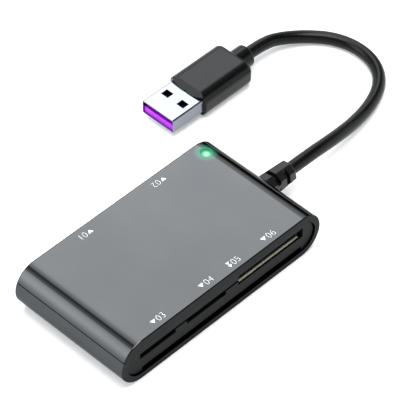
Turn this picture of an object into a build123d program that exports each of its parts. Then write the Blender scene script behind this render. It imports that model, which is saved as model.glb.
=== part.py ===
from build123d import *
import os
from math import pi, radians, tan

# Card reader: a slim round-ended case with card slots front and back, and a short lead with a plug.
# Millimetres. The origin is the middle of the underside, +X points to the lead, -Y is the front
# with four slots, +Y the back with two, and +Z is up.

# Case: a round-ended sleeve in two shells that lap along their round ends
case_wall = 2.0
rim_round = 0.4
parting_drop = 3.75
parting_groove_height = 0.2
parting_groove_depth = 0.6
tongue_thickness = 0.8
tongue_height = 1.0
ceiling_gap = 1.5
fit_gap = 0.1

# Slotted panels, held in grooves of both shells
panel_recess = 0.5
panel_raise = 0.8
panel_flange = 0.6
panel_grip = 0.6
panel_reveal = 0.3
small_slot_margin = 1.6
large_slot_margin = 2.4
lead_in_height = 0.75
lead_in_depth = 0.5

# Board, on four pins of the lower shell, under four posts of the upper one
board_thickness = 1.2
board_end_gap = 0.2
board_panel_gap = 0.6
pin_diameter = 1.2
pin_rise = 0.6
pin_side_gap = 0.3
pin_end_gap = 4.8
pin_spacing = 20.0
boss_diameter = 2.6
post_diameter = 2.2

# Card sockets: a moulded tray, a folded steel cover and a row of spring contacts
tray_floor = 0.45
tray_wall = 0.8
tray_back = 1.0
tray_lip = 0.8
card_play = 0.3
cover_sheet = 0.25
cover_gap = 0.05
cover_window = 1.6
socket_gap = 0.1
middle_gap = 2.3
contact_sheet = 0.15
contact_width = 0.5
contact_gap = 0.12
contact_tail = 1.2
contact_flat = 1.4
contact_reach = 6.5
contact_lift = 0.35
contact_hook = 0.8

# Front row, from the left: micro card, mini stick, stick card
micro_card_width = 11.0
micro_card_space = 1.15
micro_card_depth = 13.5
micro_card_contacts = 8
micro_card_pitch = 1.1
micro_to_mini = 3.1
mini_stick_width = 12.5
mini_stick_space = 1.25
mini_stick_depth = 13.5
mini_stick_contacts = 11
mini_stick_pitch = 1.05
mini_to_stick = 4.0
stick_card_width = 21.5
stick_card_space = 3.2
stick_card_depth = 16.5
stick_card_contacts = 10
stick_card_pitch = 1.9

# Back row, from the left: large card, phone card, then the reader chip
back_row_inset = 4.45
large_card_width = 24.0
large_card_space = 2.4
large_card_depth = 17.0
large_card_contacts = 9
large_card_pitch = 2.5
large_to_phone = 4.5
phone_card_width = 15.0
phone_card_space = 1.1
phone_card_depth = 13.5
phone_card_contacts = 6
phone_card_pitch = 2.4
phone_card_row_gap = 3.0
phone_to_chip = 0.65

# Chip card, in the low slot across the front, with its connector under the board
chip_card_width = 54.0
chip_card_play = 0.35
chip_slot_margin = 4.0
chip_slot_x = 0.3
chip_slot_lift = 0.15
chip_slot_height = 1.35
chip_slot_end = 6.7
chip_card_overlap = 15.1
chip_contact_x = 3.0
chip_contact_y = -1.0
chip_contact_pitch = 2.54
chip_contact_rows = 7.62
chip_contact_dip = 0.65
chip_arm = 5.0
connector_height = 1.65
connector_margin = 1.4
connector_gap = 0.05
rail_width = 1.2
stop_width = 40.0
stop_thickness = 1.2

# Status light near the back right corner of the top
light_end_inset = 6.75
light_back_inset = 4.05
light_diameter = 3.6
light_flange = 4.4
light_flange_height = 0.8
led_length = 2.0
led_width = 1.25
led_height = 0.8
led_gap = 0.3

# Parts on the board
reader_chip_y = 5.5
reader_chip_size = 6.0
reader_chip_height = 0.85
controller_gap = 1.85
controller_y = 5.0
controller_size = 4.0
controller_height = 0.8
chip_chamfer = 0.15
crystal_y = 11.2
crystal_length = 3.2
crystal_width = 2.5
crystal_height = 0.75
capacitor_length = 1.6
capacitor_width = 0.8
capacitor_pitch = 3.0
back_capacitors = 3
back_capacitor_y = 6.0
micro_capacitors = 2
micro_capacitor_y = -8.0
stick_capacitors = 2
stick_capacitor_y = -6.0
controller_capacitors = 2
controller_capacitor_y = -1.5
controller_capacitor_pitch = 2.5

# Strain relief: a neck in the end wall's notch and an eight-sided tapered boot, slotted so that it
# bends: the first slots open at the top and underside, the second at the two sides
boot_length = 8.8
boot_sides = 8
boot_root_width = 7.0
boot_end_width = 5.9
boot_end_round = 0.5
boot_turn = -10.0
boot_slot_width = 1.4
boot_slot_depth = 0.9
boot_slot_first = 1.4
boot_slot_second = 4.9
boot_side_web = 1.3
boot_top_web = 3.2
neck_width = 6.4
neck_flange_width = 9.0
neck_flange_thickness = 1.0
core_diameter = 0.8
core_pitch = 1.1
core_length = 2.0

# Plug: a steel shell with a coloured tongue, in a moulded grip that lies on the table
shell_width = 12.0
shell_height = 4.5
shell_sheet = 0.3
shell_corner = 0.6
shell_seam = 0.1
shell_length = 18.75
shell_shown = 11.75
shell_hole_length = 2.3
shell_hole_width = 2.6
shell_hole_pitch = 5.9
shell_hole_setback = 5.4
insulator_height = 1.95
insulator_setback = 0.4
insulator_gap = 0.05
plug_contact_width = 1.0
plug_contact_sheet = 0.2
plug_contact_length = 7.4
plug_contact_setback = 1.2
plug_contact_places = (-3.5, -1.0, 1.0, 3.5)
grip_side = 1.0
grip_cover = 1.75
grip_length = 18.4
grip_corner = 3.0
grip_rear_round = 1.4
grip_bulge = 1.5
grip_slope = 1.8
grip_notch = 0.5
plug_neck_diameter = 6.8
plug_neck_length = 4.5
plug_neck_round = 0.7
plug_neck_end = 71.5
plug_y = 41.2

# Lead: a short round cable that sags to the table and comes back to the plug
cable_diameter = 3.8
table_z = cable_diameter / 2
exit_run = 8.4
entry_run = 6.9
cable_route = [
    (63.6, 0.7, 5.2), (74.4, 2.5, 2.8), (84.0, 5.0, table_z), (91.4, 8.9, table_z),
    (95.9, 15.2, table_z), (97.1, 22.8, table_z), (95.1, 30.2, table_z), (90.4, 36.1, table_z),
    (84.1, 39.9, 2.9),
]


def tray_width(card_width):
    """Outside width of a socket's tray."""
    return card_width + card_play + 2 * tray_wall


def cover_width(card_width):
    """Outside width of a socket's cover."""
    return tray_width(card_width) + 2 * (cover_gap + cover_sheet)


def column(x, start, step, count):
    """Places in a column from front to back."""
    return [(x, start + index * step) for index in range(count)]


# Heights, from the table up
chip_slot_bottom = case_wall + chip_slot_lift
chip_slot_top = chip_slot_bottom + chip_slot_height
connector_bottom = chip_slot_top + connector_gap
board_bottom = connector_bottom + connector_height
board_top = board_bottom + board_thickness
card_floor = board_top + tray_floor
tallest_space = max(micro_card_space, mini_stick_space, stick_card_space, large_card_space, phone_card_space)
ceiling = card_floor + tallest_space + cover_sheet + ceiling_gap
case_height = ceiling + case_wall
parting_height = case_height - parting_drop
lead_height = case_height / 2
plug_height = shell_height / 2 + grip_cover

# Places from front to back: each front socket meets a back socket across the middle gap
deepest_pair = max(max(micro_card_depth, mini_stick_depth) + large_card_depth,
                   stick_card_depth + phone_card_depth)
socket_front = (deepest_pair + middle_gap) / 2 + contact_tail
panel_inner_y = socket_front + socket_gap
flange_y = panel_inner_y + panel_flange
face_y = flange_y + panel_raise
case_depth = 2 * (face_y + panel_recess)
chip_stop_y = chip_contact_y + chip_card_overlap

# Places along the case: the longer row of sockets and the chip card slot set its length
front_row = (cover_width(micro_card_width) + micro_to_mini + cover_width(mini_stick_width)
             + mini_to_stick + cover_width(stick_card_width))
back_row = (back_row_inset + cover_width(large_card_width) + large_to_phone
            + cover_width(phone_card_width) + phone_to_chip + reader_chip_size)
row_end = max(front_row, back_row) / 2
chip_slot_width = chip_card_width + chip_slot_margin
pin_x = row_end + pin_side_gap + post_diameter / 2
case_end = max(pin_x + pin_end_gap, chip_slot_x + chip_slot_width / 2 + chip_slot_end)
case_length = 2 * case_end
inner_end = case_end - case_wall
neck_start = inner_end - neck_flange_thickness
boot_end = case_end + boot_length

micro_card_x = cover_width(micro_card_width) / 2 - row_end
micro_card_right = micro_card_x + cover_width(micro_card_width) / 2
mini_stick_x = micro_card_right + micro_to_mini + cover_width(mini_stick_width) / 2
mini_stick_right = mini_stick_x + cover_width(mini_stick_width) / 2
stick_card_x = mini_stick_right + mini_to_stick + cover_width(stick_card_width) / 2
large_card_x = back_row_inset + cover_width(large_card_width) / 2 - row_end
large_card_right = large_card_x + cover_width(large_card_width) / 2
phone_card_x = large_card_right + large_to_phone + cover_width(phone_card_width) / 2
phone_card_right = phone_card_x + cover_width(phone_card_width) / 2
reader_chip_x = phone_card_right + phone_to_chip + reader_chip_size / 2
controller_x = back_row_inset - row_end - controller_gap - controller_size / 2
light_place = (case_end - light_end_inset, case_depth / 2 - light_back_inset)
capacitor_places = (
    column(large_card_right + large_to_phone / 2, back_capacitor_y, capacitor_pitch, back_capacitors)
    + column(micro_card_right + micro_to_mini / 2, micro_capacitor_y, -capacitor_pitch, micro_capacitors)
    + column(mini_stick_right + mini_to_stick / 2, stick_capacitor_y, -capacitor_pitch, stick_capacitors)
    + column(controller_x, controller_capacitor_y, controller_capacitor_pitch, controller_capacitors)
)

# Places on the plug
grip_width = shell_width + 2 * grip_side
grip_height = shell_height + 2 * grip_cover
insulator_top = plug_height - shell_height / 2 + shell_sheet + insulator_gap + insulator_height
grip_end = plug_neck_end - plug_neck_length
grip_front = grip_end - grip_length
shell_tip = grip_front - shell_shown
far = 2 * case_length


def block(x_range, y_range, z_range):
    """A box between two limits along each axis."""
    ranges = (x_range, y_range, z_range)
    middle = [(low + high) / 2 for low, high in ranges]
    sizes = [high - low for low, high in ranges]
    return Pos(*middle) * Box(*sizes)


def centred(middle, size):
    """The two limits of a size about its middle."""
    return (middle - size / 2, middle + size / 2)


def upright(place, diameter, z_range):
    """A round post between two heights."""
    height = z_range[1] - z_range[0]
    return Pos(place[0], place[1], (z_range[0] + z_range[1]) / 2) * Cylinder(diameter / 2, height)


def case_solid(inset, y_range):
    """The case's round-ended profile, moved inwards by inset, over a stretch of its depth."""
    profile = Plane.XZ * SlotOverall(case_length - 2 * inset, case_height - 2 * inset)
    return extrude(Pos(0, y_range[1], case_height / 2) * profile, y_range[1] - y_range[0])


def below(height):
    """Everything under a height."""
    return block(centred(0, far), centred(0, far), (-far, height))


def above(height):
    """Everything over a height."""
    return block(centred(0, far), centred(0, far), (height, far))


def pin_places():
    """The four corners where the board is held."""
    return [(x_side * pin_x, y_side * pin_spacing / 2) for x_side in (-1, 1) for y_side in (-1, 1)]


def case_sleeve():
    """The whole case wall, open at the front and back, with the two panel grooves inside."""
    outer = case_solid(0, centred(0, case_depth))
    edges = outer.edges().group_by(Axis.Y)
    sleeve = fillet(edges[0] + edges[-1], rim_round) - case_solid(case_wall, centred(0, far))
    groove = case_solid(case_wall - panel_grip, (panel_inner_y - fit_gap, flange_y + fit_gap))
    return sleeve - groove - mirror(groove, Plane.XZ)


def lap(grow):
    """The tongues along both round ends, or the rebates for them when grow is above zero."""
    half_run = panel_inner_y - 3 * fit_gap + grow
    ring = case_solid(case_wall - tongue_thickness - grow, (-half_run, half_run))
    ring -= case_solid(case_wall + grow, centred(0, far))
    return ring & above(parting_height - grow) & below(parting_height + tongue_height + grow)


def parting_groove():
    """The thin shadow line round the outside, where the lid stops just short of the base."""
    skin = case_solid(-case_wall, centred(0, far)) - case_solid(parting_groove_depth, centred(0, far))
    return skin & above(parting_height) & below(parting_height + parting_groove_height)


def lead_neck(grow, top):
    """The U-shaped neck in the right end wall, up to a height, or the notch for it."""
    half = neck_width / 2 + grow
    rise = top - lead_height
    section = Circle(half) + Pos(0, rise / 2) * Rectangle(2 * half, rise)
    return Pos(neck_start, 0, lead_height) * extrude(Plane.YZ * section, far) & below(top)


def make_lower_shell(sleeve):
    """Base with the lap tongue, board pins, chip card rails and the notch for the lead."""
    shell = sleeve & below(parting_height)
    shell += lap(0)
    buried = case_solid(case_wall / 2, centred(0, case_depth))
    for place in pin_places():
        shell += upright(place, boss_diameter, (0, board_bottom)) & buried
        shell += upright(place, pin_diameter, (case_wall, board_top + pin_rise))
    rail_height = (case_wall / 2, chip_slot_top)
    rail_inside = chip_card_width / 2 + chip_card_play
    for side in (-1, 1):
        rail_x = sorted((side * rail_inside, side * (rail_inside + rail_width)))
        shell += block(rail_x, (-socket_front, chip_stop_y + stop_thickness), rail_height)
    shell += block(centred(0, stop_width), (chip_stop_y, chip_stop_y + stop_thickness), rail_height)
    return shell - lead_neck(fit_gap, case_height)


def make_upper_shell(sleeve):
    """Lid with the lap rebate, the posts that hold the board down and the hole for the light."""
    shell = sleeve & above(parting_height)
    shell -= parting_groove()
    buried = case_solid(case_wall / 2, centred(0, case_depth))
    for place in pin_places():
        post = upright(place, post_diameter, (board_top + fit_gap / 2, case_height)) & buried
        bore = upright(place, pin_diameter + 2 * fit_gap, (0, board_top + pin_rise + 2 * fit_gap))
        shell += post - bore
    hole = upright(light_place, light_diameter + 2 * fit_gap, (board_top, 2 * case_height))
    return shell - lap(fit_gap) - hole


def panel(slots):
    """A slotted panel at the front: a flange in the grooves and a raised face in the rim."""
    flange = case_solid(case_wall - panel_grip + fit_gap, (-flange_y, -panel_inner_y))
    face = case_solid(case_wall + panel_reveal, (-face_y, -flange_y))
    return flange + face - slots


def card_slot(x, card_width, margin, space):
    """A card slot through a panel at the front, with a notch in the panel's back for the tray's lip."""
    through = block(centred(x, card_width + margin), (-case_depth, 0), (card_floor, card_floor + space))
    lip_width = card_width + card_play + 2 * fit_gap
    lip_end = socket_front + tray_lip + fit_gap
    return through + block(centred(x, lip_width), (-lip_end, 0), (board_top - fit_gap, card_floor))


def make_front_panel():
    """Three card slots under a shared lead-in groove, and the wide chip card slot below them."""
    groove_x = (micro_card_x - (micro_card_width + small_slot_margin) / 2,
                stick_card_x - (stick_card_width + large_slot_margin) / 2)
    groove_bottom = card_floor + micro_card_space
    groove_z = (groove_bottom, groove_bottom + lead_in_height)
    chip_slot_z = (chip_slot_bottom, chip_slot_top)
    return panel([
        card_slot(micro_card_x, micro_card_width, small_slot_margin, micro_card_space),
        card_slot(mini_stick_x, mini_stick_width, small_slot_margin, mini_stick_space),
        card_slot(stick_card_x, stick_card_width, large_slot_margin, stick_card_space),
        block(centred(chip_slot_x, chip_slot_width), (-case_depth, 0), chip_slot_z),
        block(groove_x, (-case_depth, lead_in_depth - face_y), groove_z),
    ])


def make_rear_panel():
    """Two card slots, made at the front and turned to the back."""
    return Rot(0, 0, 180) * panel([
        card_slot(-large_card_x, large_card_width, large_slot_margin, large_card_space),
        card_slot(-phone_card_x, phone_card_width, small_slot_margin, phone_card_space),
    ])


def leaf(x, tail_y, flat_y, crest_y, board_z, crest_z):
    """A spring contact: a tail flat on the board, a sloping arm and a hooked tip."""
    sheet = contact_sheet if crest_z > board_z else -contact_sheet
    hook_y = crest_y + (contact_hook if crest_y > flat_y else -contact_hook)
    hook_z = crest_z - (crest_z - board_z) / 2
    line = [(tail_y, board_z), (flat_y, board_z), (crest_y, crest_z - sheet), (hook_y, hook_z - sheet)]
    outline = line + [(y, z + sheet) for y, z in reversed(line)]
    profile = Plane.YZ * make_face(Polyline(*outline, close=True))
    return Pos(x, 0, 0) * extrude(profile, contact_width / 2, both=True)


def card_socket(x, at_back, width, space, depth, contacts, pitch, row_gap=0.0):
    """A tray, cover and contacts, made with the mouth at the front and turned if it is at the back."""
    inside = width + card_play
    outside = tray_width(width)
    back = depth - socket_front
    top = card_floor + space
    tray = block(centred(0, outside), (-socket_front, back), (board_top, top))
    tray -= block(centred(0, inside), (-far, back - tray_back), (card_floor, far))
    tray += block(centred(0, inside), (-socket_front - tray_lip, -socket_front), (board_top, card_floor))
    cover = block(centred(0, cover_width(width)), (-socket_front, back), (board_top, top + cover_sheet))
    cover -= block(centred(0, outside + 2 * cover_gap), centred(0, far), (0, top))
    cover -= block(centred(0, far), (depth / 3 - socket_front, back - depth / 3), (0, card_floor))
    for side in (-1, 1):
        window_x = centred(side * inside / 4, cover_window)
        cover -= block(window_x, (depth / 4 - socket_front, back - depth / 3), (top - space / 4, far))
    springs = []
    for index in range(contacts):
        spring_x = (index - (contacts - 1) / 2) * pitch
        crest_y = back - contact_reach - row_gap * (index % 2)
        window_x = centred(spring_x, contact_width + 2 * contact_gap)
        window_y = (crest_y - contact_hook - contact_gap, back - tray_back)
        tray -= block(window_x, window_y, (0, card_floor))
        tray -= block(window_x, (back - tray_back, far), (0, board_top + contact_sheet + contact_gap))
        springs.append(leaf(spring_x, back + contact_tail, back - contact_flat, crest_y,
                            board_top, card_floor + contact_lift))
    place = Pos(x, 0, 0) * Rot(0, 0, 180 if at_back else 0)
    return place * tray, place * cover, [place * spring for spring in springs]


def make_chip_connector():
    """The flat chip card connector under the board, with two rows of four contacts facing down."""
    crest_z = connector_bottom - chip_contact_dip
    half_depth = chip_contact_rows / 2 + chip_arm
    width = 3 * chip_contact_pitch + contact_width + 2 * connector_margin
    body = block(centred(chip_contact_x, width), centred(chip_contact_y, 2 * half_depth),
                 (connector_bottom, board_bottom))
    tail_z = (board_bottom - contact_sheet - contact_gap, board_bottom)
    springs = []
    for index in range(4):
        spring_x = chip_contact_x + (index - 1.5) * chip_contact_pitch
        window_x = centred(spring_x, contact_width + 2 * contact_gap)
        for side in (-1, 1):
            crest_y = chip_contact_y + side * chip_contact_rows / 2
            edge_y = chip_contact_y + side * half_depth
            flat_y = edge_y - side * contact_flat
            inner_y = crest_y - side * (contact_hook + contact_gap)
            body -= block(window_x, sorted((inner_y, flat_y)), (0, board_bottom))
            body -= block(window_x, sorted((flat_y, edge_y + side)), tail_z)
            springs.append(leaf(spring_x, edge_y + side * contact_tail, flat_y, crest_y,
                                board_bottom, crest_z))
    return body, springs


def make_board():
    """The circuit board, with a hole for each pin."""
    half_length = neck_start - board_end_gap
    half_depth = panel_inner_y - board_panel_gap
    board = block((-half_length, half_length), (-half_depth, half_depth), (board_bottom, board_top))
    return board - [upright(place, pin_diameter + 2 * fit_gap, (0, far)) for place in pin_places()]


def on_board(place, length, width, height):
    """A flat part on top of the board."""
    return block(centred(place[0], length), centred(place[1], width), (board_top, board_top + height))


def make_chip(place, size, height):
    """A square chip with its top edges chamfered."""
    chip = on_board(place, size, size, height)
    return chamfer(chip.faces().sort_by(Axis.Z)[-1].edges(), chip_chamfer)


def make_light_pipe():
    """A clear rod from the lamp to the top face, cut flush with the case, with a flange inside."""
    rod = upright(light_place, light_diameter, (board_top + led_height + led_gap, 2 * case_height))
    rod &= case_solid(0, centred(0, case_depth))
    flange = upright(light_place, light_flange, (ceiling - light_flange_height, case_height))
    flange &= case_solid(case_wall + fit_gap / 2, (-panel_inner_y, panel_inner_y - fit_gap))
    return rod + flange


def make_strain_relief():
    """A neck in the end wall's notch, a flange inside and a slotted, tapered boot outside."""
    ends = [Plane.YZ.offset(x) * RegularPolygon(width / 2, boot_sides, False, rotation=180 / boot_sides)
            for x, width in ((inner_end, boot_root_width), (boot_end, boot_end_width))]
    boot = loft(ends)
    boot = fillet(boot.edges().group_by(Axis.X)[-1], boot_end_round)
    core = Rot(0, 90, 0) * Cylinder(boot_end_width / 2 - boot_slot_depth, far)
    side_web = block(centred(0, far), centred(0, far), centred(0, boot_side_web))
    top_web = block(centred(0, far), centred(0, boot_top_web), centred(0, far))
    for start, web in ((boot_slot_first, side_web), (boot_slot_second, top_web)):
        slot_x = (case_end + start, case_end + start + boot_slot_width)
        boot -= block(slot_x, centred(0, far), centred(0, far)) - core - web
    wrap = case_solid(-fit_gap / 2, centred(0, far))
    neck = lead_neck(0, parting_height - fit_gap / 2) & wrap
    flange = block((neck_start, case_end), centred(0, neck_flange_width), (0, case_height))
    flange &= case_solid(case_wall + fit_gap / 2, centred(0, far))
    return Pos(0, 0, lead_height) * Rot(boot_turn, 0, 0) * boot - wrap + neck + flange


def make_cores():
    """The lead's four wires, from the strain relief's inner face to the board."""
    middle = Pos(neck_start - core_length / 2, 0, board_top + core_diameter / 2)
    wire = middle * Rot(0, 90, 0) * Cylinder(core_diameter / 2, core_length)
    return [Pos(0, (index - 1.5) * core_pitch, 0) * wire for index in range(4)]


def make_cable():
    """A round tube along the route, each corner an arc as large as its two runs allow."""
    points = [Vector(boot_end, 0, lead_height), Vector(boot_end + exit_run, 0, lead_height)]
    points += [Vector(*point) for point in cable_route]
    points += [Vector(plug_neck_end + entry_run, plug_y, plug_height),
               Vector(plug_neck_end, plug_y, plug_height)]
    runs = [end - start for start, end in zip(points, points[1:])]
    radii = [0.45 * min(before.length, after.length) / tan(radians(before.get_angle(after) / 2))
             for before, after in zip(runs, runs[1:])]
    path = FilletPolyline(*points, radius=radii)
    tube = sweep(Plane(points[0], z_dir=runs[0]) * Circle(cable_diameter / 2), path=path)
    plain_volume = pi * cable_diameter ** 2 / 4 * path.length
    print("cable radii", [round(radius, 1) for radius in radii])
    print("cable length", round(path.length, 1), "volume", round(tube.volume), "of", round(plain_volume))
    return tube


def plug_section(inset, x_range):
    """The plug shell's rounded outline, moved inwards by inset, over a stretch of its length."""
    corner = shell_corner - inset
    outline = RectangleRounded(shell_width - 2 * inset, shell_height - 2 * inset, corner)
    return Pos(x_range[0], plug_y, plug_height) * extrude(Plane.YZ * outline, x_range[1] - x_range[0])


def make_plug_shell():
    """The folded steel shell: its seam is underneath, with two holes beside it and two in the top."""
    shell_end = shell_tip + shell_length
    shell = plug_section(0, (shell_tip, shell_end)) - plug_section(shell_sheet, (0, far))
    shell -= block((0, far), centred(plug_y, shell_seam), (-far, plug_height))
    hole_x = (shell_tip + shell_hole_setback, shell_tip + shell_hole_setback + shell_hole_length)
    for side in (-1, 1):
        hole_y = centred(plug_y + side * shell_hole_pitch / 2, shell_hole_width)
        shell -= block(hole_x, hole_y, centred(plug_height, far))
    return shell


def contact_bed(place, grow):
    """One flat plug contact on the tongue, or the groove for it when grow is above zero."""
    start = shell_tip + insulator_setback + plug_contact_setback
    x_range = (start - grow, start + plug_contact_length + grow)
    y_range = centred(plug_y + place, plug_contact_width + 2 * grow)
    return block(x_range, y_range, (insulator_top - plug_contact_sheet, insulator_top + grow))


def make_plug_insulator():
    """The coloured tongue along the bottom of the shell, and the block behind it."""
    body_x = (shell_tip + insulator_setback, shell_tip + shell_length)
    body = plug_section(shell_sheet + insulator_gap, body_x)
    mouth = block((0, shell_tip + shell_shown), centred(plug_y, far), (insulator_top, far))
    return body - mouth - [contact_bed(place, insulator_gap) for place in plug_contact_places]


def make_plug_contacts():
    """Four flat contacts, level with the top of the tongue."""
    return [contact_bed(place, 0) for place in plug_contact_places]


def make_plug_overmould():
    """The moulded grip: round-cornered, bowed and sloped at the front, with a neck for the lead."""
    start = grip_front - grip_bulge
    section = Plane.YZ * RectangleRounded(grip_width, grip_height, grip_corner)
    grip = Pos(start, 0, 0) * extrude(section, grip_end - start)
    grip = fillet(grip.edges().group_by(Axis.X)[-1], grip_rear_round)
    bow_radius = ((grip_width / 2) ** 2 + grip_bulge ** 2) / (2 * grip_bulge)
    bow = Pos(start + bow_radius, 0, 0) * Cylinder(bow_radius, far)
    grip &= bow + block((grip_front, far), centred(0, far), centred(0, far))
    rise = grip_height / 2 - shell_height / 2
    slope = [(0, 0), (2 * grip_slope, 2 * rise), (-grip_slope, 2 * rise), (-grip_slope, 0)]
    wedge = extrude(Plane.XZ * make_face(Polyline(*slope, close=True)), grip_width, both=True)
    wedge = Pos(start, 0, shell_height / 2) * wedge
    notch = Pos(start, 0, 0) * Cylinder(grip_notch, far)
    neck = Rot(0, 90, 0) * Cylinder(plug_neck_diameter / 2, 2 * plug_neck_length)
    neck = fillet(neck.edges().group_by(Axis.X)[-1], plug_neck_round)
    grip = grip - wedge - mirror(wedge, Plane.XY) - notch + Pos(grip_end, 0, 0) * neck
    shell_space = plug_section(-insulator_gap, (0, shell_tip + shell_length + insulator_gap))
    return Pos(0, plug_y, plug_height) * grip - shell_space


def main():
    sleeve = case_sleeve()
    connector, connector_contacts = make_chip_connector()
    nodes = {
        "upper_shell": make_upper_shell(sleeve),
        "lower_shell": make_lower_shell(sleeve),
        "front_panel": make_front_panel(),
        "rear_panel": make_rear_panel(),
        "main_board": make_board(),
        "chip_card_connector": connector,
        "chip_card_contacts": connector_contacts,
        "light_pipe": make_light_pipe(),
        "status_led": on_board(light_place, led_length, led_width, led_height),
        "reader_chip": make_chip((reader_chip_x, reader_chip_y), reader_chip_size, reader_chip_height),
        "chip_card_controller": make_chip((controller_x, controller_y), controller_size, controller_height),
        "crystal": on_board((reader_chip_x, crystal_y), crystal_length, crystal_width, crystal_height),
        "board_capacitors": [on_board(place, capacitor_width, capacitor_length, capacitor_width)
                             for place in capacitor_places],
        "strain_relief": make_strain_relief(),
        "cable_cores": make_cores(),
        "cable": make_cable(),
        "plug_shell": make_plug_shell(),
        "plug_insulator": make_plug_insulator(),
        "plug_contacts": make_plug_contacts(),
        "plug_overmould": make_plug_overmould(),
    }
    sockets = {
        "large_card": card_socket(large_card_x, True, large_card_width, large_card_space,
                                  large_card_depth, large_card_contacts, large_card_pitch),
        "phone_card": card_socket(phone_card_x, True, phone_card_width, phone_card_space,
                                  phone_card_depth, phone_card_contacts, phone_card_pitch,
                                  phone_card_row_gap),
        "micro_card": card_socket(micro_card_x, False, micro_card_width, micro_card_space,
                                  micro_card_depth, micro_card_contacts, micro_card_pitch),
        "mini_stick": card_socket(mini_stick_x, False, mini_stick_width, mini_stick_space,
                                  mini_stick_depth, mini_stick_contacts, mini_stick_pitch),
        "stick_card": card_socket(stick_card_x, False, stick_card_width, stick_card_space,
                                  stick_card_depth, stick_card_contacts, stick_card_pitch),
    }
    for name, (tray, cover, contacts) in sockets.items():
        nodes[name + "_tray"] = tray
        nodes[name + "_cover"] = cover
        nodes[name + "_contacts"] = contacts

    os.makedirs("parts", exist_ok=True)
    for name, solid in nodes.items():
        if isinstance(solid, list):
            solid = Compound(children=solid)
        export_step(solid, f"parts/{name}.step")


main()
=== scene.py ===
from math import cos, pi, radians, sin

import bmesh
import bpy
from mathutils import Matrix, Vector


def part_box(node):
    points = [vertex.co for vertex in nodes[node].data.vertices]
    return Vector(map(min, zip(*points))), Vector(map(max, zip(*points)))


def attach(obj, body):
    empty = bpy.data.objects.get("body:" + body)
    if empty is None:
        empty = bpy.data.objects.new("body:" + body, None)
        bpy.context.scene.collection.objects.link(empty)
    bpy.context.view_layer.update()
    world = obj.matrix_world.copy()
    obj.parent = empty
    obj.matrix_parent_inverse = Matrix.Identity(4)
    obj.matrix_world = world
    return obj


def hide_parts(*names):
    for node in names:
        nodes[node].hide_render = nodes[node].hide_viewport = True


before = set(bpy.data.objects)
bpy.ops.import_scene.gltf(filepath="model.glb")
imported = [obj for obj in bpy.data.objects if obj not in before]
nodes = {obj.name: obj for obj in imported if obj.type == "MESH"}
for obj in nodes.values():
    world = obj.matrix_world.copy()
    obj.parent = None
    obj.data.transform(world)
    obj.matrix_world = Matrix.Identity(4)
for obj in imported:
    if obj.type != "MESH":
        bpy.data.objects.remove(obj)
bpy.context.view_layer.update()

# Sizes and places are written in millimetres and used in metres
MM = 0.001

# The view: a long lens from the front left, high above the table
VIEW_AZIMUTH = -45.435
VIEW_ELEVATION = 45.886
VIEW_DISTANCE = 752.0
VIEW_TARGET = (25.2, 13.7, 0.0)
LENS = 254.7

# The lead, along the points of its route, from the boot to the plug's neck
LEAD_DIAMETER = 3.8
LEAD_ROUTE = [
    (44.8, 0.0, 6.9), (53.2, 0.0, 6.9), (63.6, 0.7, 5.2), (74.4, 2.5, 2.8), (84.0, 5.0, 1.9),
    (91.4, 8.9, 1.9), (95.9, 15.2, 1.9), (97.1, 22.8, 1.9), (95.1, 30.2, 1.9), (90.4, 36.1, 1.9),
    (84.1, 39.9, 2.9), (78.4, 41.2, 4.0), (71.5, 41.2, 4.0),
]

# White print on the lid: an arrow towards each slot and the slot's number
INK_THICKNESS = 0.03
DIGIT_HEIGHT = 1.85
ARROW_WIDTH = 1.6
ARROW_HEIGHT = 1.15
MARK_GAP = 0.4
FRONT_MARK_INSET = 2.6
BACK_MARK_INSET = 3.0
# Taken off the edges of the digits' strokes, in the font's own units
DIGIT_THINNING = 0.026
# Each mark's number, its arrow's place along the case, and whether it is read from the back
SLOT_MARKS = [
    ("01", -12.1, True), ("02", 14.3, True),
    ("03", -22.45, False), ("04", -5.4, False), ("06", 17.3, False),
]
# The chip card's mark has two small arrows, one behind the other
CHIP_MARK_NUMBER = "05"
CHIP_MARK_X = 4.6
SMALL_ARROW_WIDTH = 1.15
SMALL_ARROW_HEIGHT = 0.85
SMALL_ARROW_STEP = 1.05

# The case's front and back rims, painted darker as shade: a stand-in for the darker reflection on their end
# faces
SHADED_RIM_WIDTH = 0.25
SHADED_RIM_BLUR = 0.05

# The status light: a pale spot off its middle, a pale rim, and a painted green glow on the lid round it
SPOT_OFFSET = (-0.45, -0.6, 0.0)
SPOT_REACH = 2.6
LIGHT_RIM_START = 1.55
LIGHT_RIM_END = 1.75
GLOW_START = 1.6
GLOW_END = 4.6
GLOW_STRENGTH = 0.3

# Depths behind the front edge over which painted shade darkens two small parts, the plug's tongue and the
# stick card's tray
TONGUE_SHADE_START = 0.6
TONGUE_SHADE_END = 2.0
TRAY_SHADE_START = 0.45
TRAY_SHADE_END = 0.65

# Stage: a light table, an overhead softbox and an arch of soft panels behind the object.
# The arch runs from the right horizon, 0 degrees, over the top to the left one, 180 degrees,
# and each panel has its brightness at a few angles.
TABLE_SIZE = 6000.0
TABLE_DROP = 0.02
TABLE_GLOW = 0.3
OVERHEAD_BRIGHTNESS = 6.0
OVERHEAD_HEIGHT = 1500.0
OVERHEAD_SIZE = 1300.0
ROOM_BRIGHTNESS = 0.04
ARCH_BRIGHTNESS = 6.5
RIGHT_PANEL = [(17, 0.0), (33, 0.31), (45, 0.42)]
TOP_PANEL = [(48, 0.84), (54, 0.85), (58, 0.74), (70, 0.7), (82, 0.42), (92, 0.24)]
DARK_GAP = [(94, 0.05), (98, 0.05)]
LEFT_PANEL = [(113, 0.22), (117, 0.54), (130, 0.72), (143, 0.8), (149, 0.75), (180, 0.25)]
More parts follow.
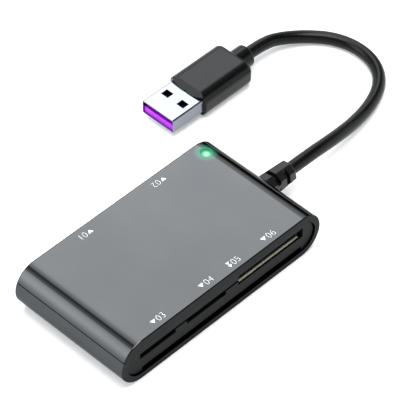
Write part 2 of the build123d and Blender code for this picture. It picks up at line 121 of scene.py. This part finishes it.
# Low white screens stand round the table, open where the arch comes down. The levels across go by
# how far a direction points to the back, from 0 to 1, and the levels by height by how far it points up.
SURROUND_BRIGHTNESS = 1.6
SURROUND_BY_HEIGHT = [(0.0, 1.0), (0.4, 1.0), (0.55, 0.0)]
SURROUND_ACROSS = [(0.0, 1.0), (0.2, 0.0), (0.58, 0.0), (0.68, 1.0)]
ARCH_ACROSS = [(0.2, 0.0), (0.4, 0.72), (0.49, 1.0), (0.56, 1.15), (0.72, 0.0)]


def linear(code):
    """An sRGB hex colour as linear red, green, blue and alpha."""
    shares = [int(code[start:start + 2], 16) / 255 for start in (1, 3, 5)]
    return (*(s / 12.92 if s <= 0.04045 else ((s + 0.055) / 1.055) ** 2.4 for s in shares), 1.0)


def per_mm(size):
    """A texture scale whose pattern repeats about once in that many millimetres."""
    return 1 / (size * MM)


def add(tree, kind, inputs=None, **settings):
    """Add a node with its settings, and set or link its inputs by name or number."""
    node = tree.nodes.new("ShaderNode" + kind)
    for name, value in settings.items():
        setattr(node, name, value)
    for name, value in (inputs or {}).items():
        if isinstance(value, bpy.types.NodeSocket):
            tree.links.new(value, node.inputs[name])
        else:
            node.inputs[name].default_value = value
    return node


def start_material(name):
    """An empty material: its node tree and the coordinates of the piece in metres."""
    material = bpy.data.materials.new(name)
    material.use_nodes = True
    tree = material.node_tree
    tree.nodes.clear()
    return material, tree, add(tree, "TexCoord").outputs["Object"]


def finish_material(tree, shader):
    """Send a shader to the surface output."""
    add(tree, "OutputMaterial", {"Surface": shader.outputs[0]})


def set_ramp(node, stops):
    """Give a colour ramp its stops, as pairs of place and colour."""
    ramp = node.color_ramp
    while len(ramp.elements) < len(stops):
        ramp.elements.new(1.0)
    for element, (place, colour) in zip(ramp.elements, stops):
        element.position = place
        element.color = colour
    return node.outputs["Color"]


def gunmetal_lacquer(name, tones, rim, shaded_rim_start, lamp=None):
    """Dark gunmetal lacquer on ABS: a dim, clear mirror with a faint slow wave.

    It is painted darker on the front and back rims, shade standing in for their darker reflection, and has a
    painted green glow round the lamp where there is one.
    """
    material, tree, place = start_material(name)
    cloud = add(tree, "TexNoise", {"Vector": place, "Scale": per_mm(18.0), "Detail": 2.0})
    dark, light = tones
    tone = set_ramp(add(tree, "ValToRGB", {"Fac": cloud.outputs["Fac"]}),
                    [(0.3, linear(dark)), (0.7, linear(light))])
    depth = add(tree, "SeparateXYZ", {"Vector": place})
    from_middle = add(tree, "Math", {0: depth.outputs["Y"]}, operation="ABSOLUTE")
    # Painted shade: the front and back end faces take the darker rim colour
    edge = add(tree, "MapRange", {
        "Value": from_middle.outputs[0],
        "From Min": shaded_rim_start - SHADED_RIM_BLUR * MM, "From Max": shaded_rim_start + SHADED_RIM_BLUR * MM,
    })
    colour = add(tree, "Mix", {0: edge.outputs[0], 6: tone, 7: linear(rim)}, data_type="RGBA")
    smear = add(tree, "MapRange", {"Value": cloud.outputs["Fac"], "To Min": 0.03, "To Max": 0.05})
    peel = add(tree, "TexNoise", {"Vector": place, "Scale": per_mm(6.0), "Detail": 1.0})
    wave = add(tree, "Bump", {"Height": peel.outputs["Fac"], "Strength": 0.1, "Distance": 0.004 * MM})
    shader = add(tree, "BsdfPrincipled", {
        "Base Color": colour.outputs[2], "Roughness": smear.outputs[0], "Normal": wave.outputs[0],
        "Metallic": 1.0, "Specular Tint": linear("#C6C6C6"),
    })
    # Painted light: the lid gives off a green glow near the lamp, fading with distance
    if lamp is not None:
        spread = add(tree, "VectorMath", {0: place, 1: lamp}, operation="DISTANCE")
        fade = add(tree, "MapRange", {
            "Value": spread.outputs["Value"], "From Min": GLOW_START * MM, "From Max": GLOW_END * MM,
            "To Min": 1.0, "To Max": 0.0,
        }, interpolation_type="SMOOTHERSTEP")
        lit = add(tree, "Math", {0: fade.outputs[0], 1: 2.0}, operation="POWER")
        strength = add(tree, "Math", {0: lit.outputs[0], 1: GLOW_STRENGTH}, operation="MULTIPLY")
        shader.inputs["Emission Color"].default_value = linear("#35C99A")
        tree.links.new(strength.outputs[0], shader.inputs["Emission Strength"])
    finish_material(tree, shader)
    return material


def panel_plastic():
    """Dark grey ABS from a spark-eroded mould: a fine even grain with a low sheen."""
    material, tree, place = start_material("spark_eroded_abs")
    grain = add(tree, "TexNoise", {"Vector": place, "Scale": per_mm(0.3), "Detail": 4.0})
    cloud = add(tree, "TexNoise", {"Vector": place, "Scale": per_mm(9.0), "Detail": 2.0})
    tone = set_ramp(add(tree, "ValToRGB", {"Fac": cloud.outputs["Fac"]}),
                    [(0.3, linear("#0D0E0F")), (0.7, linear("#121314"))])
    gloss = add(tree, "MapRange", {"Value": grain.outputs["Fac"], "To Min": 0.36, "To Max": 0.56})
    bump = add(tree, "Bump", {"Height": grain.outputs["Fac"], "Strength": 0.35, "Distance": 0.02 * MM})
    finish_material(tree, add(tree, "BsdfPrincipled", {
        "Base Color": tone, "Roughness": gloss.outputs[0], "Normal": bump.outputs[0],
        "Specular IOR Level": 0.08,
    }))
    return material


def lit_acrylic(centre):
    """Clear acrylic with a green lamp under it: a pale spot off centre, deep green round it, a pale rim."""
    material, tree, place = start_material("lit_acrylic")
    spot = centre + Vector(SPOT_OFFSET) * MM
    from_spot = add(tree, "VectorMath", {0: place, 1: spot}, operation="DISTANCE")
    share = add(tree, "MapRange", {"Value": from_spot.outputs["Value"], "From Max": SPOT_REACH * MM})
    glow = set_ramp(add(tree, "ValToRGB", {"Fac": share.outputs[0]}), [
        (0.0, linear("#F8FFF8")), (0.19, linear("#E2FFE6")), (0.32, linear("#86F4AE")),
        (0.47, linear("#2ACB7A")), (0.63, linear("#108C5A")), (0.8, linear("#08653F")),
        (1.0, linear("#044A30")),
    ])
    from_centre = add(tree, "VectorMath", {0: place, 1: centre}, operation="DISTANCE")
    rim = add(tree, "MapRange", {
        "Value": from_centre.outputs["Value"],
        "From Min": LIGHT_RIM_START * MM, "From Max": LIGHT_RIM_END * MM,
    })
    colour = add(tree, "Mix", {0: rim.outputs[0], 6: glow, 7: linear("#62C49F")}, data_type="RGBA")
    finish_material(tree, add(tree, "BsdfPrincipled", {
        "Base Color": linear("#0A3A28"), "Roughness": 0.08, "Specular IOR Level": 0.1,
        "Emission Color": colour.outputs[2], "Emission Strength": 0.95,
    }))
    return material


def pvc(name, tones, roughness, shine, grain_size, grain_depth):
    """Black plasticised PVC from a satin mould: dark, with a soft broad highlight and a fine grain."""
    material, tree, place = start_material(name)
    grain = add(tree, "TexNoise", {"Vector": place, "Scale": per_mm(grain_size), "Detail": 3.0})
    cloud = add(tree, "TexNoise", {"Vector": place, "Scale": per_mm(7.0), "Detail": 2.0})
    dark, light = tones
    tone = set_ramp(add(tree, "ValToRGB", {"Fac": cloud.outputs["Fac"]}),
                    [(0.3, linear(dark)), (0.7, linear(light))])
    gloss = add(tree, "MapRange", {
        "Value": grain.outputs["Fac"], "To Min": roughness - 0.05, "To Max": roughness + 0.07,
    })
    bump = add(tree, "Bump", {"Height": grain.outputs["Fac"], "Strength": 0.3, "Distance": grain_depth * MM})
    finish_material(tree, add(tree, "BsdfPrincipled", {
        "Base Color": tone, "Roughness": gloss.outputs[0], "Normal": bump.outputs[0],
        "Specular IOR Level": shine,
    }))
    return material


def rolled_metal(name, tones, roughness, along, line_size):
    """Cold-rolled sheet, plated bright: faint lines along the rolling, a little cloudy."""
    material, tree, place = start_material(name)
    stretch = tuple(0.04 if axis == along else 1.0 for axis in "XYZ")
    rolled = add(tree, "Mapping", {"Vector": place, "Scale": stretch})
    lines = add(tree, "TexNoise", {"Vector": rolled.outputs[0], "Scale": per_mm(line_size), "Detail": 3.0})
    dark, light = tones
    tone = set_ramp(add(tree, "ValToRGB", {"Fac": lines.outputs["Fac"]}),
                    [(0.25, linear(dark)), (0.75, linear(light))])
    gloss = add(tree, "MapRange", {
        "Value": lines.outputs["Fac"], "To Min": roughness - 0.04, "To Max": roughness + 0.06,
    })
    bump = add(tree, "Bump", {"Height": lines.outputs["Fac"], "Strength": 0.15, "Distance": 0.004 * MM})
    finish_material(tree, add(tree, "BsdfPrincipled", {
        "Base Color": tone, "Roughness": gloss.outputs[0], "Normal": bump.outputs[0], "Metallic": 1.0,
    }))
    return material


def moulded_plastic(name, tones, roughness, grain_size):
    """A small injection-moulded part: even colour with faint flow clouds and a light grain."""
    material, tree, place = start_material(name)
    cloud = add(tree, "TexNoise", {"Vector": place, "Scale": per_mm(grain_size * 12), "Detail": 2.0})
    grain = add(tree, "TexNoise", {"Vector": place, "Scale": per_mm(grain_size), "Detail": 2.0})
    dark, light = tones
    tone = set_ramp(add(tree, "ValToRGB", {"Fac": cloud.outputs["Fac"]}),
                    [(0.3, linear(dark)), (0.7, linear(light))])
    bump = add(tree, "Bump", {"Height": grain.outputs["Fac"], "Strength": 0.2, "Distance": 0.01 * MM})
    finish_material(tree, add(tree, "BsdfPrincipled", {
        "Base Color": tone, "Roughness": roughness, "Normal": bump.outputs[0],
        "Specular IOR Level": 0.25,
    }))
    return material


def violet_pbt(front):
    """Moulded violet PBT, glossy and bright at the plug's mouth, with painted shade turning it dark violet
    further in.
    """
    material, tree, place = start_material("violet_pbt")
    along = add(tree, "SeparateXYZ", {"Vector": place})
    share = add(tree, "MapRange", {
        "Value": along.outputs["X"],
        "From Min": front + TONGUE_SHADE_START * MM, "From Max": front + TONGUE_SHADE_END * MM,
    })
    # Painted shade: bright violet at the mouth, dark violet deeper inside the steel shell
    tone = set_ramp(add(tree, "ValToRGB", {"Fac": share.outputs[0]}),
                    [(0.0, linear("#AC1AEA")), (1.0, linear("#240A44"))])
    grain = add(tree, "TexNoise", {"Vector": place, "Scale": per_mm(0.3), "Detail": 2.0})
    bump = add(tree, "Bump", {"Height": grain.outputs["Fac"], "Strength": 0.2, "Distance": 0.01 * MM})
    finish_material(tree, add(tree, "BsdfPrincipled", {
        "Base Color": tone, "Roughness": 0.35, "Normal": bump.outputs[0], "Specular IOR Level": 0.25,
    }))
    return material


def shaded_ivory_nylon(front):
    """Ivory nylon, a pale line in the slot's mouth, with painted shade turning it dark olive behind its
    front lip.
    """
    material, tree, place = start_material("shaded_ivory_nylon")
    depth = add(tree, "SeparateXYZ", {"Vector": place})
    share = add(tree, "MapRange", {
        "Value": depth.outputs["Y"],
        "From Min": front + TRAY_SHADE_START * MM, "From Max": front + TRAY_SHADE_END * MM,
    })
    # Painted shade: ivory at the front lip, dark olive deeper in the slot
    tone = set_ramp(add(tree, "ValToRGB", {"Fac": share.outputs[0]}),
                    [(0.0, linear("#F0EBD2")), (1.0, linear("#23221B"))])
    finish_material(tree, add(tree, "BsdfPrincipled", {"Base Color": tone, "Roughness": 0.5}))
    return material


def board_resist():
    """Glass-epoxy board under green solder resist: copper tracks show as lighter lines."""
    material, tree, place = start_material("solder_resist")
    tracks = add(tree, "TexBrick", {
        "Vector": place, "Color1": linear("#0F4A2A"), "Color2": linear("#124F2E"),
        "Mortar": linear("#1F6E42"), "Scale": per_mm(1.0), "Mortar Size": 0.08,
        "Brick Width": 5.0, "Row Height": 0.9,
    })
    finish_material(tree, add(tree, "BsdfPrincipled", {
        "Base Color": tracks.outputs["Color"], "Roughness": 0.3, "IOR": 1.55, "Coat Weight": 0.3,
    }))
    return material


def core_insulation(low, high):
    """PVC on the lead's four wires, a colour for each by its place across the board."""
    material, tree, place = start_material("core_insulation")
    across = add(tree, "SeparateXYZ", {"Vector": place})
    share = add(tree, "MapRange", {
        "Value": across.outputs["Y"], "From Min": low.y, "From Max": high.y,
    })
    ramp = add(tree, "ValToRGB", {"Fac": share.outputs[0]})
    ramp.color_ramp.interpolation = "CONSTANT"
    wires = ("#1A1A1A", "#1E8A3C", "#E6E4DC", "#B3201C")
    tone = set_ramp(ramp, [(index / len(wires), linear(wire)) for index, wire in enumerate(wires)])
    finish_material(tree, add(tree, "BsdfPrincipled", {"Base Color": tone, "Roughness": 0.35}))
    return material


def white_ink():
    """Pad-printed white ink: flat and opaque, a little uneven where the pad lifted."""
    material, tree, place = start_material("white_ink")
    patch = add(tree, "TexNoise", {"Vector": place, "Scale": per_mm(0.5), "Detail": 2.0})
    tone = set_ramp(add(tree, "ValToRGB", {"Fac": patch.outputs["Fac"]}),
                    [(0.3, linear("#EDEDED")), (0.6, linear("#FAFAFA"))])
    finish_material(tree, add(tree, "BsdfPrincipled", {"Base Color": tone, "Roughness": 0.5}))
    return material


def table_acrylic():
    """Opal white acrylic of a light table, lit a little from below, with a slight tooth."""
    material, tree, place = start_material("table_acrylic")
    tooth = add(tree, "TexNoise", {"Vector": place, "Scale": per_mm(3.0), "Detail": 2.0})
    tone = set_ramp(add(tree, "ValToRGB", {"Fac": tooth.outputs["Fac"]}),
                    [(0.3, linear("#E4E4E4")), (0.7, linear("#E8E8E8"))])
    finish_material(tree, add(tree, "BsdfPrincipled", {
        "Base Color": tone, "Roughness": 0.8, "Specular IOR Level": 0.1,
        "Emission Color": linear("#FFFFFF"), "Emission Strength": TABLE_GLOW,
    }))
    return material


def dress(material, *names):
    """Give CAD nodes a material."""
    for name in names:
        nodes[name].data.materials.clear()
        nodes[name].data.materials.append(material)


def dress_case():
    """Lacquered shells, grained panels and the lit status light."""
    low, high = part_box("light_pipe")
    lamp_top = Vector(((low.x + high.x) / 2, (low.y + high.y) / 2, high.z))
    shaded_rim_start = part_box("upper_shell")[1].y - SHADED_RIM_WIDTH * MM
    # Each shell's third, darker tone is painted shade on its front and back rims
    dress(gunmetal_lacquer("gunmetal_lacquer_lid", ("#414243", "#444545"), "#292A2B", shaded_rim_start, lamp_top),
          "upper_shell")
    # The base's tones are a little lighter than the lid's: partly the shells' own two-tone, partly painted
    # light making up for the table's shade under the case
    dress(gunmetal_lacquer("gunmetal_lacquer_base", ("#424547", "#46494B"), "#2C2D2E", shaded_rim_start),
          "lower_shell")
    dress(panel_plastic(), "front_panel", "rear_panel")
    dress(lit_acrylic(lamp_top), "light_pipe")


def dress_plug():
    """The boot on the case, and the plug's grip, steel shell, violet tongue and contacts."""
    dress(pvc("boot_pvc", ("#040405", "#070708"), 0.32, 0.34, 0.35, 0.02), "strain_relief")
    dress(pvc("grip_pvc", ("#040505", "#080909"), 0.24, 0.19, 0.3, 0.03), "plug_overmould")
    dress(rolled_metal("nickel_plated_steel", ("#757981", "#7F838B"), 0.16, "X", 0.25), "plug_shell")
    dress(violet_pbt(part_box("plug_insulator")[0].x), "plug_insulator")
    dress(rolled_metal("gold_flashed_bronze", ("#C79A45", "#E3BC6A"), 0.2, "X", 0.2), "plug_contacts")


def dress_inside():
    """The card sockets, the board and what stands on it."""
    sockets = ("large_card", "phone_card", "micro_card", "mini_stick", "stick_card")
    dress(rolled_metal("gold_flashed_spring", ("#C79A45", "#E3BC6A"), 0.2, "Y", 0.2),
          "chip_card_contacts", *(name + "_contacts" for name in sockets))
    dress(rolled_metal("stainless_sheet", ("#A9ABAD", "#C3C5C7"), 0.26, "Y", 0.3),
          "crystal", *(name + "_cover" for name in sockets))
    dress(moulded_plastic("black_nylon", ("#0A0A0A", "#101010"), 0.5, 0.3),
          "chip_card_connector", *(name + "_tray" for name in sockets if name != "stick_card"))
    dress(shaded_ivory_nylon(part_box("stick_card_tray")[0].y), "stick_card_tray")
    dress(board_resist(), "main_board")
    dress(moulded_plastic("chip_epoxy", ("#141415", "#1C1C1E"), 0.55, 0.1),
          "reader_chip", "chip_card_controller")
    dress(moulded_plastic("fired_ceramic", ("#8A6A45", "#A07E55"), 0.5, 0.1), "board_capacitors")
    dress(moulded_plastic("white_lamp_body", ("#DCE6D8", "#EAF2E6"), 0.4, 0.1), "status_led")
    dress(core_insulation(*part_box("cable_cores")), "cable_cores")


def show(name, data):
    """Put a mesh, curve, lamp or lens into the scene."""
    piece = bpy.data.objects.new(name, data)
    bpy.context.scene.collection.objects.link(piece)
    return piece


def make_lead():
    """The round lead, one smooth line along its route."""
    curve = bpy.data.curves.new("lead", "CURVE")
    curve.dimensions = "3D"
    spline = curve.splines.new("NURBS")
    spline.points.add(len(LEAD_ROUTE) - 1)
    for point, place in zip(spline.points, LEAD_ROUTE):
        point.co = (*(size * MM for size in place), 1.0)
    spline.order_u = 3
    spline.use_endpoint_u = True
    spline.resolution_u = 16
    curve.bevel_depth = LEAD_DIAMETER / 2 * MM
    curve.bevel_resolution = 8
    curve.use_fill_caps = True
    curve.materials.append(pvc("lead_pvc", ("#020202", "#040404"), 0.28, 0.18, 0.5, 0.01))
    lead = show("lead", curve)
    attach(lead, "root")
    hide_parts("cable")


def span(vertices):
    """The lowest and highest corners round some vertices."""
    low = Vector([min(vertex.co[axis] for vertex in vertices) for axis in range(3)])
    high = Vector([max(vertex.co[axis] for vertex in vertices) for axis in range(3)])
    return low, high


def standing(place, turned):
    """Where a mark stands on the lid: to be read from the front or, turned, from the back."""
    return Matrix.Translation(place) @ Matrix.Rotation(pi * turned, 4, "Z")


def arrow(print_mesh, place, turned, width, height):
    """Add a solid arrow head to the print, its point towards the case's edge."""
    corners = bmesh.ops.create_circle(print_mesh, cap_ends=True, segments=3, radius=1.0)["verts"]
    low, high = span(corners)
    size = high - low
    fit = Matrix.Diagonal((width * MM / size.x, -height * MM / size.y, 1.0)).to_4x4()
    centre = Matrix.Translation(-(low + high) / 2)
    bmesh.ops.transform(print_mesh, matrix=standing(place, turned) @ fit @ centre, verts=corners)


def digits(print_mesh, text, place, turned):
    """Add a number to the print, starting at a place and standing on the same line as its arrow."""
    curve = bpy.data.curves.new("digits", "FONT")
    curve.body = text
    curve.resolution_u = 4
    curve.offset = -DIGIT_THINNING
    holder = show("digits", curve)
    flat = bpy.data.meshes.new_from_object(holder.evaluated_get(bpy.context.evaluated_depsgraph_get()))
    bpy.data.objects.remove(holder)
    low, high = span(flat.vertices)
    grow = Matrix.Scale(DIGIT_HEIGHT * MM / (high.y - low.y), 4)
    start = Matrix.Translation((-low.x, -(low.y + high.y) / 2, 0.0))
    flat.transform(standing(place, turned) @ grow @ start)
    print_mesh.from_mesh(flat)
    bpy.data.meshes.remove(flat)


def raise_print(print_mesh, height):
    """Lay the flat print at a height, facing up, and give it the ink's thickness."""
    bmesh.ops.translate(print_mesh, vec=(0.0, 0.0, height), verts=print_mesh.verts)
    bmesh.ops.recalc_face_normals(print_mesh, faces=print_mesh.faces)
    for face in print_mesh.faces:
        if face.normal.z < 0:
            face.normal_flip()
    raised = bmesh.ops.extrude_face_region(print_mesh, geom=print_mesh.faces[:], use_keep_orig=False)
    tops = [item for item in raised["geom"] if isinstance(item, bmesh.types.BMVert)]
    bmesh.ops.translate(print_mesh, vec=(0.0, 0.0, INK_THICKNESS * MM), verts=tops)


def make_slot_marks():
    """White arrows and numbers on the lid, along the front edge and, turned round, along the back."""
    low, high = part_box("upper_shell")
    front_y = low.y + FRONT_MARK_INSET * MM
    back_y = high.y - BACK_MARK_INSET * MM
    print_mesh = bmesh.new()
    for text, x, turned in SLOT_MARKS:
        place = Vector((x * MM, back_y if turned else front_y, 0.0))
        step = (ARROW_WIDTH / 2 + MARK_GAP) * MM * (-1 if turned else 1)
        arrow(print_mesh, place, turned, ARROW_WIDTH, ARROW_HEIGHT)
        digits(print_mesh, text, place + Vector((step, 0.0, 0.0)), turned)
    double = Vector((CHIP_MARK_X * MM, front_y, 0.0))
    for side in (-1, 1):
        shift = Vector((0.0, side * SMALL_ARROW_STEP / 2 * MM, 0.0))
        arrow(print_mesh, double + shift, False, SMALL_ARROW_WIDTH, SMALL_ARROW_HEIGHT)
    step = (SMALL_ARROW_WIDTH / 2 + MARK_GAP) * MM
    digits(print_mesh, CHIP_MARK_NUMBER, double + Vector((step, 0.0, 0.0)), False)
    raise_print(print_mesh, high.z)
    data = bpy.data.meshes.new("slot_marks")
    print_mesh.to_mesh(data)
    print_mesh.free()
    data.materials.append(white_ink())
    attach(show("slot_marks", data), "root")


def make_table():
    """A wide light table under the object."""
    sheet = bmesh.new()
    bmesh.ops.create_grid(sheet, x_segments=1, y_segments=1, size=TABLE_SIZE / 2 * MM)
    bmesh.ops.translate(sheet, vec=(0.0, 0.0, -TABLE_DROP * MM), verts=sheet.verts)
    data = bpy.data.meshes.new("table")
    sheet.to_mesh(data)
    sheet.free()
    data.materials.append(table_acrylic())
    show("table", data)


def grey_stops(levels):
    """Stops of a colour ramp from pairs of place and level."""
    return [(place, (level, level, level, 1.0)) for place, level in levels]


def make_surroundings():
    """Soft light from all round: the arch of panels behind the object, the low screens and a dim room."""
    world = bpy.data.worlds.new("studio")
    world.use_nodes = True
    tree = world.node_tree
    tree.nodes.clear()
    way = add(tree, "SeparateXYZ", {"Vector": add(tree, "TexCoord").outputs["Generated"]})
    turn = add(tree, "Math", {0: way.outputs["Z"], 1: way.outputs["X"]}, operation="ARCTAN2")
    share = add(tree, "MapRange", {"Value": turn.outputs[0], "From Max": pi})
    arch_levels = RIGHT_PANEL + TOP_PANEL + DARK_GAP + LEFT_PANEL
    panels = set_ramp(add(tree, "ValToRGB", {"Fac": share.outputs[0]}),
                      grey_stops([(angle / 180, level) for angle, level in arch_levels]))
    across = set_ramp(add(tree, "ValToRGB", {"Fac": way.outputs["Y"]}), grey_stops(ARCH_ACROSS))
    arch = add(tree, "Math", {0: panels, 1: across}, operation="MULTIPLY")
    arch_level = add(tree, "Math", {0: arch.outputs[0], 1: ARCH_BRIGHTNESS, 2: ROOM_BRIGHTNESS},
                     operation="MULTIPLY_ADD")
    height = set_ramp(add(tree, "ValToRGB", {"Fac": way.outputs["Z"]}), grey_stops(SURROUND_BY_HEIGHT))
    around = set_ramp(add(tree, "ValToRGB", {"Fac": way.outputs["Y"]}), grey_stops(SURROUND_ACROSS))
    surround = add(tree, "Math", {0: height, 1: around}, operation="MULTIPLY")
    level = add(tree, "Math", {0: surround.outputs[0], 1: SURROUND_BRIGHTNESS, 2: arch_level.outputs[0]},
                operation="MULTIPLY_ADD")
    sky = add(tree, "Background", {"Color": linear("#F9FCFF"), "Strength": level.outputs[0]})
    add(tree, "OutputWorld", {"Surface": sky.outputs[0]})
    bpy.context.scene.world = world


def make_softbox():
    """A round softbox straight above the table."""
    lamp = bpy.data.lights.new("overhead_softbox", "AREA")
    lamp.shape = "DISK"
    lamp.size = OVERHEAD_SIZE * MM
    lamp.energy = pi * (OVERHEAD_SIZE * MM) ** 2 * OVERHEAD_BRIGHTNESS
    show("overhead_softbox", lamp).location = (0.0, 0.0, OVERHEAD_HEIGHT * MM)


def make_camera():
    """A camera at the chosen view: azimuth 0 is the front, and elevation is the rise above the table."""
    lens = bpy.data.cameras.new("camera")
    lens.lens = LENS
    camera = show("camera", lens)
    turn, rise = radians(VIEW_AZIMUTH), radians(VIEW_ELEVATION)
    back = Vector((sin(turn) * cos(rise), -cos(turn) * cos(rise), sin(rise)))
    camera.location = (Vector(VIEW_TARGET) + back * VIEW_DISTANCE) * MM
    camera.rotation_euler = back.to_track_quat("Z", "Y").to_euler()
    bpy.context.scene.camera = camera
    bpy.context.scene.view_settings.view_transform = "Standard"


dress_case()
dress_plug()
dress_inside()
make_lead()
make_slot_marks()
make_table()
make_surroundings()
make_softbox()
make_camera()
